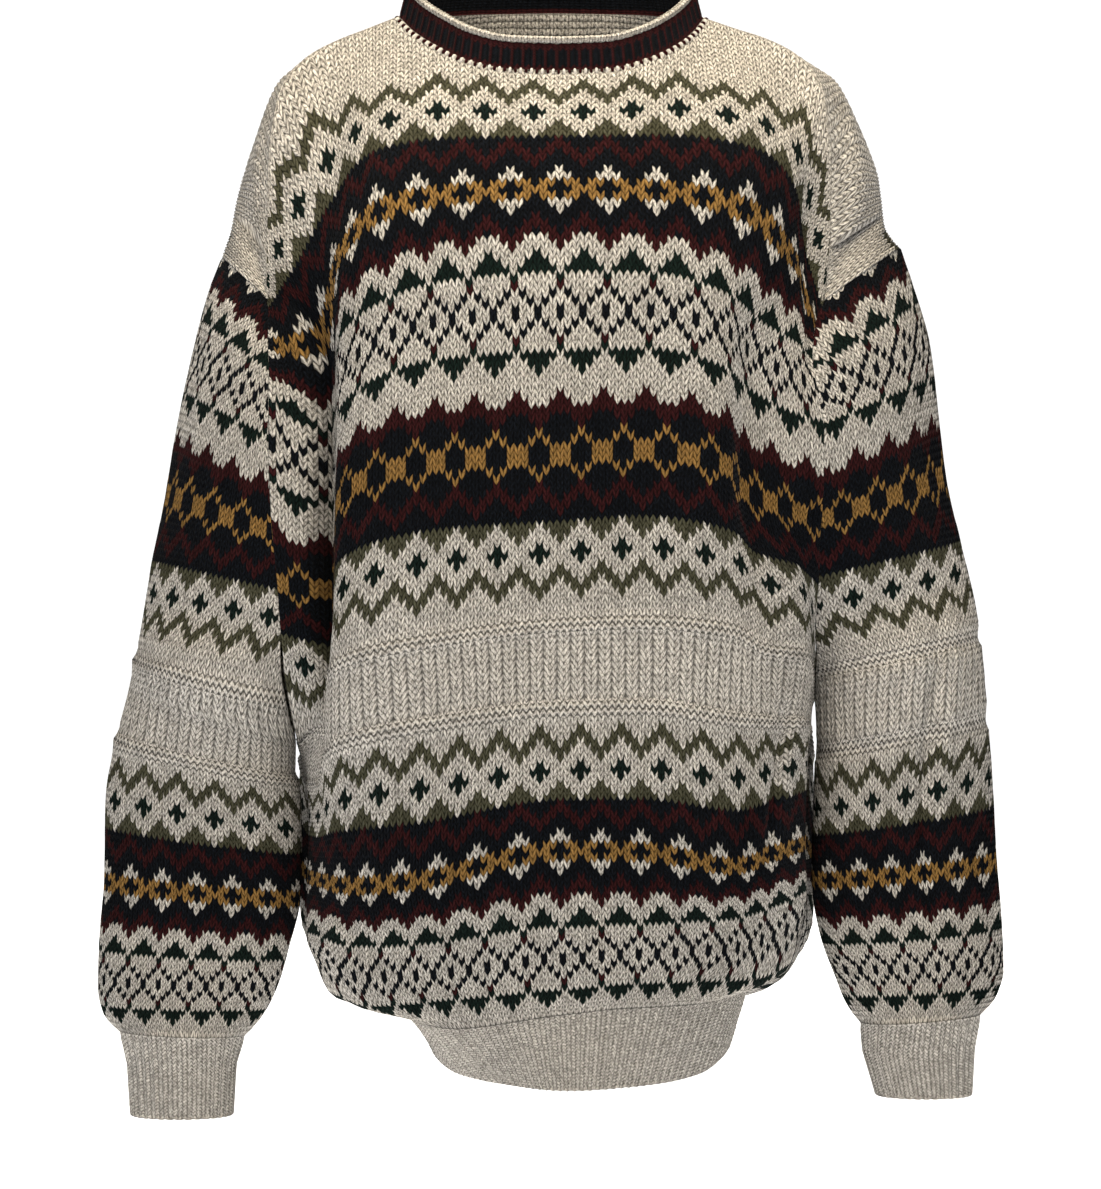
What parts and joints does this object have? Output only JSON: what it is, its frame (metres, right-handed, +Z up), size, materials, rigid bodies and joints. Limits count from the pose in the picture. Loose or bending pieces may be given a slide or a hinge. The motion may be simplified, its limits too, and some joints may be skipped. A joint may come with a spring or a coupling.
{
  "type": "fair isle jumper",
  "caption": "Loose hollow knitted jumper with banded stranded pattern, dropped shoulders, blousing sleeves and ribbed round neck, cuffs and hem.",
  "frame": {"origin": "middle of the neck opening, level with the shoulder ends of the neckband, where the wearer's neck and shoulders hold the jumper", "axes": "+X to the right as seen from the front, the front faces -Y, +Z up along the body"},
  "size_m": [0.5862, 0.252, 0.7472],
  "materials": {
    "front": "stranded wool knit, matt",
    "back": "stranded wool knit, matt",
    "sleeve_left": "stranded wool knit, matt",
    "sleeve_right": "stranded wool knit, matt",
    "neckband": "ribbed wool knit, matt",
    "neck_roll": "rolled wool knit edge, matt",
    "hem_rib_front": "ribbed marl wool knit, matt",
    "hem_rib_back": "ribbed marl wool knit, matt",
    "cuff_left": "ribbed marl wool knit, matt",
    "cuff_right": "ribbed marl wool knit, matt"
  },
  "bodies": {
    "root": {"front": "front", "back": "back", "sleeve_left": "sleeve_left", "sleeve_right": "sleeve_right", "neckband": "neckband", "neck_roll": "neck_roll", "hem_rib_front": "hem_rib_front", "hem_rib_back": "hem_rib_back", "cuff_left": "cuff_left", "cuff_right": "cuff_right"}
  },
  "joints": []
}
